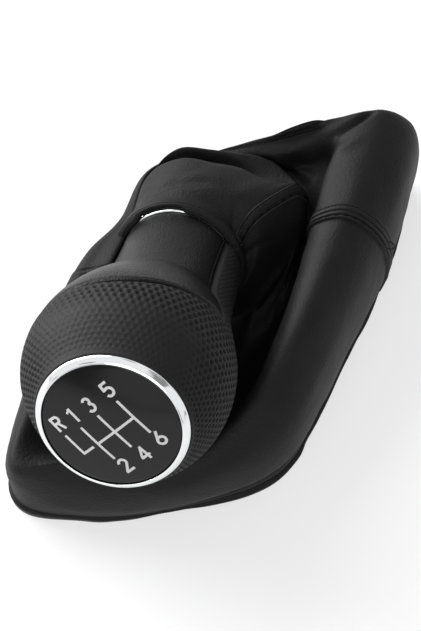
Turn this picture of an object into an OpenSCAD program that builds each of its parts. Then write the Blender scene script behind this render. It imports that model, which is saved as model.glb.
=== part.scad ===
// Gear shift knob for a six speed gearbox, with the soft gaiter that is
// clamped to its neck. The knob lies in its pushed down gaiter.
// Units are millimetres. Z is up and the gaiter's hem lies at z = 0.
// The knob's own axis rises from the neck to the cap. Its profiles are lists of
// [radius, s], where s counts along that axis from the point at neck_z.

/* [Knob] */
// Outer diameter of the chrome ring round the shift pattern
cap_od = 35.8; // [35:0.1:36.5]
// Height along the axis of the outer edge of the chrome cap ring
cap_s = 68.4; // [68:0.1:69]
// Largest diameter of the head
head_od = 49.8; // [49:0.1:50.5]
// Diameter of the neck's smooth side at its chrome ring
neck_od = 28.2; // [27.6:0.1:28.8]
// Height along the axis of the front face of the chrome neck ring
ring_s = -1.82; // [-2.2:0.02:-1.4]
// Rise of the knob's axis above the ground, in degrees
knob_tilt = 26.7; // [26:0.1:28]
// Height above the ground of the point that the axis is measured from
neck_z = 25.2; // [25:0.1:26.5]
// Turn of the shift pattern about the knob's axis, in degrees
pattern_turn = 51; // [47:1:55]
// Part of the neck's girth that the smooth panel covers, in degrees
panel_angle = 208; // [200:1:214]
// Height of the dome of the shift pattern disc above its edge
disc_dome = 1.2; // [0.8:0.1:1.6]
// Clearance between the disc and the cap ring, which shows as a dark line
disc_gap = 0.18; // [0.1:0.02:0.3]
// Width of the joint between the panel and the dimpled skin
joint_w = 0.76; // [0.6:0.02:0.9]

/* [Socket] */
// Diameter of the lever that the sleeve is pushed onto
lever_d = 12; // [11:0.1:12.6]
// Depth of the sleeve's bore from its mouth
socket_depth = 50; // [46:1:52]
// Wall of the sleeve
sleeve_wall = 3.5; // [3.2:0.1:3.7]
// Distance from the point at neck_z back to the sleeve's mouth
mouth_s = 14; // [13:0.5:15]
// Width of the four slits that let the clamp close the sleeve
slit = 1.6; // [1.2:0.1:2]
// Clearance between the sleeve and the gaiter collar round it
collar_gap = 0.1; // [0.05:0.05:0.2]

/* [Gaiter] */
// Thickness of the leather with its backing
leather = 1.2; // [1:0.1:1.3]
// Width of the felled strip over the seams
seam_w = 5.4; // [4:0.2:6]
// Thickness of the felled seam strip above the panels
seam_t = 0.5; // [0.3:0.05:0.7]
// Thickness of the turned hem outside the panels
hem_t = 0.7; // [0.4:0.1:1]

/* [Print] */
// Width of the white gate lines
line_w = 0.62; // [0.5:0.02:0.8]
// Height of the printed lines above the disc
print_t = 0.1; // [0.06:0.02:0.16]

/* [Hidden] */
// Radius of the chrome cap ring
cap_r = cap_od / 2;
// Radius of the lever bore
lever_r = lever_d / 2;
// Outer radius of the sleeve, which is also the bore of the core
sleeve_r = lever_r + sleeve_wall;
// Inner radius of the cap ring
ring_in = cap_r - 1.65;
// Radius of the pattern disc
disc_r = ring_in - disc_gap;
// Height along the axis of the disc's edge
disc_s = cap_s + 0.8;
// Largest radius of the head
head_r = head_od / 2;
// Radius of the neck's smooth side
neck_r = neck_od / 2;
// Height along the axis of the crease between the neck and the head
crease_s = cap_s - 46.6;
// Height along the axis of the gaiter's mouth
gaiter_s = ring_s - 1.1;
// Outer and inner radius of the chrome neck ring, and its length
ring_r = neck_r + 0.85;
ring_bore = neck_r - 1.7;
ring_t = 2.2;
// Inner radius of the gaiter collar, and the radius of its groove for the tie
collar_in = sleeve_r + collar_gap;
groove_r = neck_r - 0.9;
// Radius of the three posts that the cap's carrier is screwed down through
post_r = 2.1;
// Start angle of the smooth panel, whose middle faces the front of the car
panel_from = 90 - panel_angle / 2;
// Facets of the large turned pieces
big = 60;
// Where the axis starts, so that the whole part is centred on the origin
shift = [-10.48, 7.463];

// Point of the neck at share t of the way from its ring to the crease
function neck_at(dr, t) = [neck_r + dr, ring_s + (crease_s - ring_s) * t];
// Point of the flare, where share leads from the neck's girth to the head's, set in by dr
function flare_at(share, depth, dr = 0) = [neck_r + (head_r - neck_r) * share - dr, cap_s - depth];
// Point of the head, set in by dr, at depth below the cap's edge
function head_at(dr, depth) = [head_r - dr, cap_s - depth];
// Point of the head's end, where share t leads from its full girth to the cap ring
function end_at(t, depth) = [head_r - (head_r - cap_r) * t, cap_s - depth];

// Side of the hard core, which the skin and the panel are bonded onto
core_neck = [
    neck_at(-1.1, 0), neck_at(-1.0, 0.5), neck_at(-0.9, 0.84), flare_at(0, 46.4, 0.5),
    flare_at(0.346, 41.4, 2.24), flare_at(0.606, 36.4, 2.84)];
core_head = [
    head_at(3.1, 28.2), head_at(2.1, 23.4), head_at(1.8, 18.4), head_at(2.1, 14.4), end_at(0.51, 9.4),
    end_at(0.79, 6.4), end_at(1.03, 4)];
core_side = concat(core_neck, core_head);
// Smooth panel from the neck ring over the crease and the flared shoulder
panel_side = [
    neck_at(0, 0), neck_at(0.05, 0.33), neck_at(0.2, 0.6), neck_at(0.5, 0.84), neck_at(0.9, 1),
    flare_at(0.148, 45.0), flare_at(0.278, 42.6), flare_at(0.454, 39.5), flare_at(0.62, 36.1),
    flare_at(0.759, 32.2), flare_at(0.843, 28.6), flare_at(0.917, 25.2), head_at(0.35, 21.4),
    head_at(0.2, 17.9)];
// Dimpled skin, from the driver's side of the neck over the head to the cap
skin_side = [
    neck_at(1.5, 0), neck_at(2.0, 0.06), neck_at(2.3, 0.4), neck_at(2.9, 0.73), flare_at(0.38, 44.9),
    flare_at(0.537, 38.4), flare_at(0.713, 32.8), flare_at(0.852, 28.1), head_at(0.7, 25.2),
    head_at(0.15, 21.4), head_at(0, 17.9), end_at(0.04, 14.4), end_at(0.15, 11.2), end_at(0.31, 8.4), end_at(0.51, 5.8),
    end_at(0.73, 3.4), end_at(0.89, 1.6), end_at(0.95, 0.6), end_at(0.99, 0.4)];
// Edge of the panel, as [y, s] seen along the pattern's rows. It is highest at the front.
panel_edge = [
    [-2 * head_r, cap_s - 46.4], [-0.32 * head_r, cap_s - 30.1], [0.4 * head_r, cap_s - 23.4],
    [0.58 * head_r, cap_s - 21.7], [0.7 * head_r, cap_s - 20.7], [0.84 * head_r, cap_s - 20.2],
    [2 * head_r, cap_s - 20.1]];

function rev(a) = [for (i = [len(a) - 1:-1:0]) a[i]];

// Places a piece of the knob. Local y is the front of the pattern, z the axis.
module on_knob() {
    translate([shift[0], shift[1], neck_z])
        rotate([90 - knob_tilt, 0, 0])
            rotate([0, 0, pattern_turn])
                children();
}

// Turned piece over part of the girth
module sector(from, angle, pts) {
    rotate([0, 0, from])
        rotate_extrude(angle = angle, $fn = big)
            polygon(pts);
}

// Chrome ring round the pattern, with a bevel that falls outwards
module cap_bezel() {
    color("gainsboro")
        on_knob()
            rotate_extrude($fn = 72)
                polygon([
                    [ring_in, cap_s - 1.2], [cap_r - 0.35, cap_s - 1.2], [cap_r, cap_s - 0.6],
                    [cap_r, cap_s - 0.1], [cap_r - 0.2, cap_s + 0.25], [cap_r - 0.75, cap_s + 0.75],
                    [cap_r - 1.3, cap_s + 1.15], [ring_in + 0.12, cap_s + 1.2],
                    [ring_in, cap_s + 1.08]]);
}

// Outline of the domed disc face, raised by t
function dome_side(t) = [
    for (i = [0:5]) [disc_r * i / 5, disc_s + t + disc_dome * (1 - pow(i / 5, 2))]];

// Gloss black disc that carries the pattern
module pattern_disc() {
    color([0.03, 0.03, 0.035])
        on_knob()
            rotate_extrude($fn = 72)
                polygon(concat([[0, cap_s - 1.8]], dome_side(0), [[disc_r, cap_s - 1.8]]));
}

// Straight stroke between two points, flat at its ends
module stroke(p, q, w) {
    d = q - p;
    translate(p)
        rotate([0, 0, atan2(d[1], d[0])])
            translate([0, -w / 2])
                square([norm(d), w]);
}

// Part of a circular stroke, from angle a over span b
module bow(c, r, w, a, b) {
    translate(c)
        difference() {
            circle(r + w / 2, $fn = 20);
            circle(r - w / 2, $fn = 20);
            if (b < 360)
                polygon(concat([[0, 0]], [for (i = [0:4]) 3 * r * [cos(a + b + i * (360 - b) / 4),
                    sin(a + b + i * (360 - b) / 4)]]));
        }
}

// The six gates and the reverse gate
module gate_lines() {
    w = line_w;
    for (x = [-5.55, 0.05, 6.3])
        stroke([x, -6.6], [x, 4.1], w);
    stroke([-5.55, -1.35], [6.3, -1.35], w);
    stroke([-7.0, -1.35], [-10.3 - w / 2, -1.35], w);
    stroke([-10.3, -1.35 - w / 2], [-10.3, 4.7], w);
}

// Plain numerals, drawn as strokes round the point each one is centred on
module numerals() {
    w = 0.66;
    translate([-4.9, 7.5]) {
        stroke([0.35, -2], [0.35, 2], w);
        stroke([0.4, 1.8], [-0.75, 1.05], w * 0.8);
    }
    translate([-5.0, -9.4]) {
        bow([0, 0.85], 0.95, w, -50, 220);
        stroke([0.66, 0.2], [-1.0, -1.75], w);
        stroke([-1.25, -1.75], [1.3, -1.75], w);
    }
    translate([0.4, 7.3]) {
        bow([-0.05, 0.9], 0.8, w, -90, 245);
        bow([-0.05, -0.85], 0.95, w, -155, 245);
    }
    translate([0.8, -9.6]) {
        stroke([0.55, -2.05], [0.55, 2.0], w);
        stroke([0.6, 1.85], [-1.15, -0.85], w * 0.9);
        stroke([-1.35, -0.9], [1.3, -0.9], w);
    }
    translate([6.6, 7.5]) {
        stroke([-0.8, 1.7], [1.0, 1.7], w);
        stroke([-0.72, 1.9], [-0.85, -0.1], w);
        bow([0, -0.7], 1.05, w, -155, 285);
    }
    translate([6.75, -9.0]) {
        bow([0, -0.75], 1.0, w, 0, 360);
        stroke([-0.85, -0.3], [0.55, 2.0], w);
    }
    translate([-9.5, 8.0]) {
        stroke([-0.9, -2], [-0.9, 2], w);
        stroke([-0.9, 1.7], [0.2, 1.7], w);
        stroke([-0.9, 0.05], [0.2, 0.05], w);
        bow([0.2, 0.87], 0.82, w, -90, 180);
        stroke([0.1, 0.05], [1.0, -2], w);
    }
}

// White print of the gates and numerals on the dome
module gate_print() {
    color("white")
        on_knob()
            intersection() {
                translate([0, 0, disc_s])
                    linear_extrude(disc_dome + 1) {
                        gate_lines();
                        numerals();
                    }
                rotate_extrude($fn = 36)
                    polygon(concat(dome_side(0), rev(dome_side(print_t))));
            }
}

// Moulded seat under the disc and the cap ring, screwed into the core
module cap_carrier() {
    color([0.1, 0.1, 0.1])
        on_knob() {
            rotate_extrude($fn = 48)
                polygon([
                    [5, cap_s - 6], [cap_r - 0.6, cap_s - 6], [cap_r - 0.6, cap_s - 3.9],
                    [cap_r - 0.3, cap_s - 3.2], [cap_r - 0.3, cap_s - 1.2], [ring_in, cap_s - 1.2],
                    [ring_in, cap_s - 1.8], [5, cap_s - 1.8]]);
            for (t = [30:120:270])
                rotate([0, 0, t])
                    translate([11, 0, cap_s - 12])
                        cylinder(r = post_r, h = 6.2, $fn = 24);
        }
}

// Hard body of the knob, with the sleeve's seat and three screw post holes
module head_core() {
    color([0.12, 0.12, 0.12])
        on_knob()
            difference() {
                rotate_extrude($fn = 48)
                    polygon(concat(
                        [[0, socket_depth - mouth_s + 3], [sleeve_r, socket_depth - mouth_s + 3],
                        [sleeve_r, ring_s - ring_t], [ring_bore, ring_s - ring_t], [ring_bore, ring_s]],
                        core_side, [[cap_r - 0.6, cap_s - 3.9], [cap_r - 0.6, cap_s - 6], [0, cap_s - 6]]));
                for (t = [30:120:270])
                    rotate([0, 0, t])
                        translate([11, 0, cap_s - 12.4])
                            cylinder(r = post_r + 0.1, h = 8, $fn = 24);
            }
}

// Room of the smooth panel, grown by t towards the dimpled skin
module panel_room(t) {
    turn = t / head_r * 60;
    intersection() {
        sector(panel_from - turn, panel_angle + 2 * turn,
            [[1, ring_s - 1], [2 * head_r, ring_s - 1], [2 * head_r, cap_s - 8], [1, cap_s - 8]]);
        rotate([90, 0, 90])
            linear_extrude(4 * head_r, center = true)
                polygon(concat([for (p = panel_edge) p + [0, t]],
                    [[2 * head_r, ring_s - 2], [-2 * head_r, ring_s - 2]]));
    }
}

// Soft dimpled skin of the head and the driver's side of the neck
module grip_skin() {
    color([0.16, 0.16, 0.16])
        on_knob()
            difference() {
                sector(0, 360, concat(skin_side, [[cap_r + 0.08, cap_s - 3.4]], rev(core_side)));
                panel_room(joint_w);
            }
}

// Smooth front panel of the neck, with the crease and the flared shoulder
module neck_panel() {
    color([0.2, 0.2, 0.2])
        on_knob()
            intersection() {
                sector(0, 360, concat(panel_side, [[core_head[2][0], cap_s - 17.9]],
                    rev([for (i = [0:8]) core_side[i]])));
                panel_room(0);
            }
}

// Narrow black bead in the joint between the panel and the skin
module panel_bead() {
    color([0.05, 0.05, 0.05])
        on_knob()
            difference() {
                intersection() {
                    sector(0, 360, concat([for (p = panel_side) p - [0.35, 0]],
                        [[core_head[2][0], cap_s - 17.9]], rev([for (i = [0:8]) core_side[i] + [0.02, 0]])));
                    panel_room(joint_w - 0.02);
                }
                panel_room(0.02);
            }
}

// Chrome ring at the end of the neck
module neck_trim_ring() {
    color("gainsboro")
        on_knob()
            translate([0, 0, ring_s])
                rotate_extrude($fn = 72)
                    polygon([[ring_bore, -ring_t], [neck_r + 0.6, -ring_t], [ring_r, -1.6], [ring_r, -0.8],
                        [neck_r + 0.5, -0.25], [neck_r + 0.1, -0.02], [ring_bore, -0.02]]);
}

// Black plastic collar that the gaiter's neck is tied onto
module gaiter_collar() {
    color([0.07, 0.07, 0.07])
        on_knob()
            translate([0, 0, ring_s - ring_t])
                difference() {
                    rotate_extrude($fn = 60)
                        polygon([
                            [collar_in, -4.8], [neck_r - 0.8, -4.8], [neck_r - 0.3, -4.3],
                            [neck_r - 0.3, -3.6], [groove_r, -3.4], [groove_r, -1.6],
                            [neck_r + 0.1, -1.4], [neck_r + 0.1, -0.02], [collar_in, -0.02]]);
                    for (t = [0:90:270])
                        rotate([0, 0, t])
                            translate([(collar_in + groove_r) / 2, 0, -6])
                                cylinder(r = (groove_r - collar_in) * 0.3, h = 4.5, $fn = 20);
                }
}

// Tie that draws the leather into the collar's groove
module gaiter_tie() {
    color([0.1, 0.1, 0.1])
        on_knob()
            translate([0, 0, ring_s - ring_t])
                rotate_extrude($fn = 60)
                    polygon([
                        [groove_r, -3.3], [groove_r + 0.65, -3.3], [groove_r + 0.65, -1.7], [groove_r, -1.7]]);
}

// Lever sleeve with four slits at its mouth
module lever_sleeve() {
    color([0.55, 0.55, 0.56])
        on_knob()
            difference() {
                translate([0, 0, -mouth_s])
                    cylinder(r = sleeve_r, h = socket_depth + 3, $fn = 48);
                translate([0, 0, -mouth_s - 1])
                    cylinder(r = lever_r, h = socket_depth + 1, $fn = 48);
                translate([0, 0, -mouth_s - 1])
                    cylinder(r1 = lever_r + 1.4, r2 = lever_r, h = 1.8, $fn = 48);
                for (t = [0, 90])
                    rotate([0, 0, t])
                        translate([-sleeve_r - 1, -slit / 2, -mouth_s - 1])
                            cube([2 * sleeve_r + 2, slit, 5.2]);
            }
}

// Ear clamp round the slit end of the sleeve
module sleeve_clamp() {
    color("silver")
        on_knob() {
            difference() {
                union() {
                    translate([0, 0, 0.4 - mouth_s])
                        cylinder(r = sleeve_r + 0.8, h = 4, $fn = 48);
                    translate([sleeve_r, -2, 0.4 - mouth_s])
                        cube([3, 4, 4]);
                }
                translate([0, 0, -0.6 - mouth_s])
                    cylinder(r = sleeve_r, h = 6, $fn = 48);
                translate([sleeve_r + 0.8, -1.1, -mouth_s])
                    cube([1.5, 2.2, 5]);
            }
        }
}

// Point on a circle round the knob's axis. The angle starts at the top.
function ring_at(t, r, s) = [
    r * sin(t),
    -s * cos(knob_tilt) + r * cos(t) * sin(knob_tilt),
    neck_z + s * sin(knob_tilt) + r * cos(t) * cos(knob_tilt)];
rim_turn = [180, 158, 138, 120, 101, 80, 58, 42, 26, 9, -10, -32, -56, -84, -115, -150];

// Direction of the knob's axis, and the neck radius that the typed rows were drawn round
axis = [0, -cos(knob_tilt), sin(knob_tilt)];
drawn_r = 14.1;
// Row that follows the neck when its radius changes
function follow(row, share) = [
    for (p = row) let (q = p - [0, 0, neck_z], a = q - (q * axis) * axis)
        p + a / norm(a) * (neck_r - drawn_r) * share];

// Rows of the gaiter's outer face, from the neck to the hem. Each row has 16
// stations, from the near side to the right, the back and the left.
typed_rows = [
    [for (t = rim_turn) ring_at(t, ring_r + 1.57, gaiter_s)],
    [for (t = rim_turn) ring_at(t, ring_r + 1.37, gaiter_s - 2.6)],
    // tube behind the collar
    [[0, -2.5, 7.2], [5, -3, 7.6], [11, -1, 10.5], [15, 1, 15.5], [18.2, 4.5, 21], [19, 9.5, 28],
    [17, 14, 34], [12.4, 15.8, 36.4], [8.5, 16.5, 37.2], [3, 17, 37.6], [-3, 17, 36.8], [-8.5, 16, 34],
    [-12.8, 13.3, 29], [-15, 9, 22.5], [-14.4, 5, 14.5], [-8, 0, 8.5]],
    // front fold of the tube
    [[0, -1.5, 4.4], [6, -3, 4.3], [14, 0, 5.5], [20, 4, 9], [23.6, 9.5, 16], [25.4, 16, 25.5],
    [23.7, 22.3, 34], [20.4, 23.1, 35], [15.1, 23.5, 35], [9.7, 24.9, 35.2], [3.2, 24.7, 35.5], [-5, 25, 34.2],
    [-12.4, 21.8, 29], [-14.1, 14.6, 22], [-13.8, 8, 11.5], [-8, 0, 5]],
    // groove behind the front fold
    [[0, -5, 3.2], [7, -7, 3.2], [16, -3, 4], [22, 2, 7.5], [25.6, 8, 14], [27.2, 17, 23.5],
    [26.2, 23.6, 31.5], [21.8, 26.2, 30.6], [15.3, 26.5, 30], [9, 27.6, 29.8], [2, 27.7, 29.8],
    [-5.5, 27.4, 29.2], [-11.5, 24.8, 25], [-12.6, 18, 18.5], [-14, 9, 9.5], [-9, -3, 3.4]],
    // back layer of the fold
    [[0, -10, 2.8], [8, -12, 2.8], [17, -8, 3.4], [23.5, -2, 5.5], [26.2, 6, 11], [27.8, 16, 19.5],
    [27.3, 24.2, 27], [20, 31, 29], [13.8, 32.1, 31], [8.4, 31.1, 32.2], [1.1, 30.5, 32.6], [-6.3, 30, 31.4],
    [-11.5, 26.4, 25.8], [-12.6, 19.5, 17], [-15, 8, 8], [-10, -9, 2.8]],
    // floor of the valley
    [[-1, -24, 3.2], [9, -24, 3.4], [19, -15, 5], [24.6, -6, 7.5], [27, 5, 11], [28, 13, 15],
    [28.5, 19.6, 19.4], [25.5, 29, 22], [19, 34.4, 23], [11, 33.8, 22.5], [3, 32.8, 21], [-6, 31, 19],
    [-11.8, 27, 15], [-12.9, 18, 12], [-17, 4, 8], [-15, -24, 3.2]],
    // inner wall of the roll
    [[-6, -46, 8], [12, -42, 10], [23, -27, 15], [26.8, -14, 18], [29, -1, 20], [29.4, 8, 22],
    [30.3, 15.6, 24.5], [30, 29, 27], [29.4, 37, 27.5], [19, 36, 27.5], [9, 34.2, 25.5], [-3, 32.5, 21.5],
    [-12, 27.6, 17], [-13.2, 15, 17], [-16.8, -5, 18], [-22, -44, 12]],
    // inner edge of the crest
    [[-9, -54.5, 22.0], [11, -50.5, 20.5], [25.2, -33, 28.5], [29, -17, 33], [30.5, -3, 34], [31, 6, 34.5],
    [31.3, 14.8, 35], [31.8, 29, 36], [32.3, 39.4, 36.5], [25, 40.2, 34], [14, 36.4, 30.6], [0, 33.4, 25],
    [-12.6, 28, 20], [-13.7, 11.8, 22], [-18.8, -8, 27.2], [-24.5, -55, 22]],
    // crest
    [[-10, -57.3, 24.8], [11.5, -53.4, 23.4], [28.6, -36, 31], [34.5, -18, 36.5], [36.5, -4, 38],
    [37.8, 6, 38.5], [39.2, 16, 39], [40.6, 34, 39], [41.1, 47.3, 38], [30.8, 44.5, 36.3], [20.2, 39.6, 34.4],
    [2, 34.8, 25.5], [-13.3, 28.9, 21.6], [-15.2, 9.8, 25.4], [-21.8, -9.8, 28.8], [-25.8, -58.2, 24.8]],
    // outer shoulder
    [[-10.5, -61, 20], [13, -56.6, 19.5], [34, -40, 24], [41, -19, 28], [43.8, -5, 30], [45.8, 6, 31],
    [47.6, 16, 31.3], [49.8, 36, 32], [48, 51.2, 30.6], [33, 48, 29.6], [20, 43.2, 27.6], [2, 36.7, 21],
    [-14.2, 30.6, 17.5], [-16.9, 11.4, 20.5], [-24.4, -10.6, 24.6], [-28, -58.6, 19]],
    // bulge of the outer wall
    [[-10, -62.5, 9.5], [14, -55.8, 9.5], [35.5, -40.5, 11], [42.2, -19, 13], [45.2, -5, 14],
    [47.8, 6, 14.5], [50, 18, 15], [51.4, 37, 16], [49.9, 54, 16], [34, 51, 15], [20, 45.4, 14],
    [2, 38, 12], [-13.4, 32, 10], [-16.6, 12.8, 10], [-27.9, -13.5, 11], [-28.6, -57.2, 9]],
    // hem
    [[-9, -60.2, 0], [13, -51.9, 0], [33.2, -39.2, 0], [40.2, -19.4, 0], [42.8, -5, 0], [45.4, 6, 0],
    [47.4, 18, 0], [49.2, 37, 0], [47.2, 53, 0], [33, 49.8, 0], [20, 44.2, 0], [3, 37, 0],
    [-11, 31.8, 0], [-15.2, 14, 0], [-26.4, -14, 0], [-27.8, -56.8, 0]]];
rows = [for (i = [0:12]) i < 2 || i > 5 ? typed_rows[i] : follow(typed_rows[i], (6 - i) / 4)];

// Smooth curve through four values
function spline(a, b, c, d, t) = 0.5 * (2 * b + (c - a) * t + (2 * a - 5 * b + 4 * c - d) * t * t
    + (3 * b - a - 3 * c + d) * t * t * t);
last = len(rows) - 1;
function row_at(i, u) = let (k = floor(u), t = u - k, r = rows[i])
    spline(r[(k + 15) % 16], r[(k + 16) % 16], r[(k + 17) % 16], r[(k + 18) % 16], t);
// Point of the outer face at station u and row v
function face(u, v) = let (i = min(floor(v), last - 1), t = v - i)
    spline(row_at(max(i - 1, 0), u), row_at(i, u), row_at(i + 1, u), row_at(min(i + 2, last), u), t);
// Direction out of the leather
function out(u, v) = let (
    du = face(u + 0.06, v) - face(u - 0.06, v),
    dv = face(u, min(v + 0.06, last)) - face(u, max(v - 0.06, 0)),
    n = cross(dv, du)) n / norm(n);
// Point at height h over the face. The lowest row is flat on the ground.
function level(u, v, h) = let (p = face(u, v) + out(u, v) * h)
    [p[0] + shift[0], p[1] + shift[1], v >= last ? 0 : max(p[2], 0)];

// Sheet between two heights over the outer face, on a grid of stations and rows
module sheet(us, vs, low, high) {
    nu = len(us);
    nv = len(vs);
    m = nu * nv;
    top = [for (v = vs) for (u = us) level(u, v, high)];
    under = [for (v = vs) for (u = us) level(u, v, low)];
    function id(i, j) = i * nu + j;
    polyhedron(
        points = concat(top, under),
        faces = concat(
            [for (i = [0:nv - 2]) for (j = [0:nu - 2]) [id(i, j), id(i + 1, j), id(i + 1, j + 1)]],
            [for (i = [0:nv - 2]) for (j = [0:nu - 2]) [id(i, j), id(i + 1, j + 1), id(i, j + 1)]],
            [for (i = [0:nv - 2]) for (j = [0:nu - 2]) [m + id(i, j), m + id(i + 1, j + 1), m + id(i + 1, j)]],
            [for (i = [0:nv - 2]) for (j = [0:nu - 2]) [m + id(i, j), m + id(i, j + 1), m + id(i + 1, j + 1)]],
            [for (j = [0:nu - 2]) [id(0, j), id(0, j + 1), m + id(0, j + 1), m + id(0, j)]],
            [for (j = [0:nu - 2]) [id(nv - 1, j + 1), id(nv - 1, j), m + id(nv - 1, j), m + id(nv - 1, j + 1)]],
            [for (i = [0:nv - 2]) [id(i + 1, 0), id(i, 0), m + id(i, 0), m + id(i + 1, 0)]],
            [for (i = [0:nv - 2]) [id(i, nu - 1), id(i + 1, nu - 1), m + id(i + 1, nu - 1), m + id(i, nu - 1)]]));
}

row_grid = [for (i = [0:36]) i / 3];
right_seam = 6;
left_seam = 14;
// Half widths of the two seam strips, in stations
right_half = seam_w / 30;
left_half = seam_w / 40;
// Stations of a panel, with one at the edge of each seam strip
function stations(from, a, b) = concat(
    [from, from + a], [for (i = [1:23]) from + i / 3], [from + 8 - b, from + 8]);

// Leather panel of the near side, from the left seam to the right one
module gaiter_near() {
    color([0.15, 0.15, 0.16])
        sheet(stations(left_seam, left_half, right_half), row_grid, -leather, 0);
}

// Leather panel of the far side, from the right seam to the left one
module gaiter_far() {
    color([0.17, 0.17, 0.18])
        sheet(stations(right_seam, right_half, left_half), row_grid, -leather, 0);
}

// Felled strip over the right seam, from the neck to the hem
module seam_right() {
    color([0.12, 0.12, 0.13])
        sheet([right_seam - right_half, right_seam, right_seam + right_half], [for (i = [1:34]) i / 3],
            0.04, seam_t);
}

// Felled strip over the left seam
module seam_left() {
    color([0.12, 0.12, 0.13])
        sheet([left_seam - left_half, left_seam, left_seam + left_half], [for (i = [19:34]) i / 3],
            0.04, seam_t);
}

// Turned hem along the gaiter's lower edge
module hem_edge() {
    color([0.13, 0.13, 0.14])
        for (k = [[right_seam, right_half, left_half], [left_seam, left_half, right_half]])
            sheet(concat([k[0] + 0.04], [for (u = stations(k[0], k[1], k[2])) if (u > k[0] && u < k[0] + 8) u],
                [k[0] + 7.96]), [35 / 3, 11.96], 0.06, hem_t);
}

// Rolled leather edge at the neck
module gaiter_rim() {
    color([0.15, 0.15, 0.16])
        on_knob()
            translate([0, 0, gaiter_s])
                rotate_extrude($fn = 60)
                    polygon([[ring_r + 0.3, 0.3], [ring_r + 1.5, 0.3], [ring_r + 1.45, 0.6],
                        [ring_r + 1.15, 0.9], [ring_r + 0.65, 0.9], [ring_r + 0.35, 0.6]]);
}

cap_bezel();
pattern_disc();
gate_print();
cap_carrier();
head_core();
grip_skin();
neck_panel();
panel_bead();
neck_trim_ring();
gaiter_collar();
gaiter_tie();
lever_sleeve();
sleeve_clamp();
gaiter_near();
gaiter_far();
gaiter_rim();
seam_right();
seam_left();
hem_edge();
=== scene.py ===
# Looks of the gear shift knob and its gaiter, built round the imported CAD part.
# Sizes in this script are millimetres unless a name ends in _M. MM turns them into metres.
import math

import bmesh
import bpy
import numpy as np
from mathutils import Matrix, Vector, noise


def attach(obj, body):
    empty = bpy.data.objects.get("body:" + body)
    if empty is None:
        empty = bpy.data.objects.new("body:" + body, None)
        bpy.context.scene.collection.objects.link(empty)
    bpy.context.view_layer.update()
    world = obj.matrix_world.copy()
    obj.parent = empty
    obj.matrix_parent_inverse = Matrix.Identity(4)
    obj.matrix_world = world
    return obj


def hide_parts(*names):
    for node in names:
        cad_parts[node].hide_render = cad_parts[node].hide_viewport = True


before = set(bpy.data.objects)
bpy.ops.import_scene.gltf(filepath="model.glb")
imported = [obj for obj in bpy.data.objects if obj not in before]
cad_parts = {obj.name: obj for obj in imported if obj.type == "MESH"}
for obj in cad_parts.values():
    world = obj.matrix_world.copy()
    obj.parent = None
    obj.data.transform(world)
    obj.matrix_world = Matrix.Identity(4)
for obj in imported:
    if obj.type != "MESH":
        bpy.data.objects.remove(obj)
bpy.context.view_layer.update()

MM = 0.001
ROOT = "root"

# Driving sizes, as in the part's source
CAP_R = 17.9
CAP_S = 68.4
NECK_R = 14.1
RING_S = -1.82
RING_R = NECK_R + 0.85
GAITER_S = RING_S - 1.1
JOINT_W = 0.76
KNOB_TILT = math.radians(26.7)
NECK = np.array([-10.48, 7.463, 25.2])
PATTERN_TURN = math.radians(51)
PANEL_ANGLE = 208
PANEL_FROM = 90 - PANEL_ANGLE / 2
RING_IN = CAP_R - 1.65
DISC_R = RING_IN - 0.18
DISC_S = CAP_S + 0.8
DISC_DOME = 1.2
LEATHER = 1.2

# Camera, read from the photo: the ring ellipses give its place
CAMERA_AT = (72.0, -314.0, 575.6)
CAMERA_AIM = (4.7, -21.7, 56.0)
FOCAL_PX = 2616
LONG_SIDE_PX = 631
SENSOR = 36
CLIP_START_M = 0.01

# Lamps: place in metres, width in metres, power in watts
LAMPS = {
    "key": ((-0.85, 0.5, 0.65), 1.3, 22),
    "side": ((-1.1, 0.2, 0.25), 0.6, 8),
    "fill": ((0.1, -1.0, 0.75), 0.9, 6)}
LAMP_AIM_M = (0, 0, 0.03)
SKY_STRENGTH = 0.5

# Floor: its grey, the share of white glow that the camera sees, its half width, and how far
# it lies below the object
FLOOR_GREY = 0.93
FLOOR_GLOW = 0.6
FLOOR_HALF_M = 3.0
FLOOR_DROP_M = 0.0002


def camera():
    data = bpy.data.cameras.new("camera")
    data.sensor_width = SENSOR
    data.lens = FOCAL_PX * SENSOR / LONG_SIDE_PX
    data.clip_start = CLIP_START_M
    eye = bpy.data.objects.new("camera", data)
    eye.location = Vector(CAMERA_AT) * MM
    aim = Vector(CAMERA_AIM) * MM - eye.location
    eye.rotation_euler = aim.to_track_quat("-Z", "Y").to_euler()
    bpy.context.collection.objects.link(eye)
    bpy.context.scene.camera = eye


def lamp(name, place, width, power):
    """Round area lamp, aimed at the knob."""
    data = bpy.data.lights.new(name, "AREA")
    data.shape = "DISK"
    data.size = width
    data.energy = power
    o = bpy.data.objects.new(name, data)
    o.location = place
    o.rotation_euler = (Vector(LAMP_AIM_M) - Vector(place)).to_track_quat("-Z", "Y").to_euler()
    bpy.context.collection.objects.link(o)


# Materials

FINISH = {}
WARP_M = 0.0006


def new_material(name):
    """New material, kept in FINISH under the slot that it is for."""
    m = FINISH[name] = bpy.data.materials.new(name)
    m.use_nodes = True
    return m.node_tree, m.node_tree.nodes["Principled BSDF"]


def node(tree, kind, **values):
    """New node. A value is set on the node itself, or else on the input of that name."""
    n = tree.nodes.new(kind)
    for key, value in values.items():
        if hasattr(n, key):
            setattr(n, key, value)
        else:
            n.inputs[key.replace("_", " ")].default_value = value
    return n


def math_node(tree, operation, a, b=None, c=None):
    """Output of a sum of sockets and numbers."""
    n = tree.nodes.new("ShaderNodeMath")
    n.operation = operation
    for i, value in enumerate((a, b, c)):
        if value is None:
            continue
        if isinstance(value, (int, float)):
            n.inputs[i].default_value = value
        else:
            tree.links.new(value, n.inputs[i])
    return n.outputs[0]


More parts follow.
